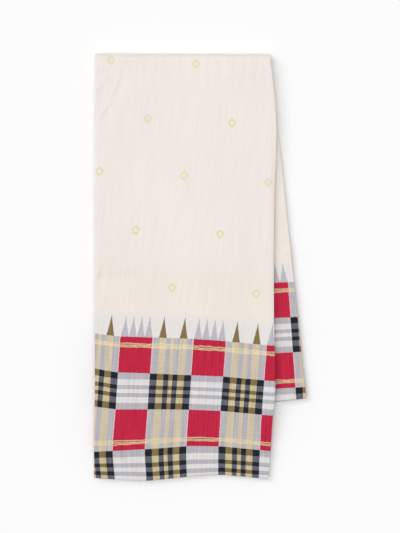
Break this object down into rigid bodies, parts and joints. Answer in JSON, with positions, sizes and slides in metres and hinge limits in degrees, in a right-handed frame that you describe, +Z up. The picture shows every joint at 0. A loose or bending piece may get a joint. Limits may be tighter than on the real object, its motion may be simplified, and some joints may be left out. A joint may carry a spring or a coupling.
{
  "type": "saree",
  "caption": "Cream saree folded into a flat strip with its fold at one end; woven check border with red squares, temple spikes and gold lines at both hems, small diamond motifs",
  "frame": {"origin": "middle of the bounding box, on the surface the saree lies on", "axes": "+Y runs along the strip from the two hems to the fold edge, +X across it to the side where the back flap shows, +Z up"},
  "size_m": [0.3176, 0.6396, 0.0199],
  "materials": {
    "cloth": "plain-woven cream cotton silk with slubs, a woven check border and dull gold thread",
    "cloth_layers": "the same cloth seen as stacked folded layers"
  },
  "bodies": {
    "root": {"front_stretch": "cloth", "back_stretch": "cloth", "under_stretch": "cloth", "front_layers": "cloth_layers", "back_layers": "cloth_layers"}
  },
  "joints": []
}
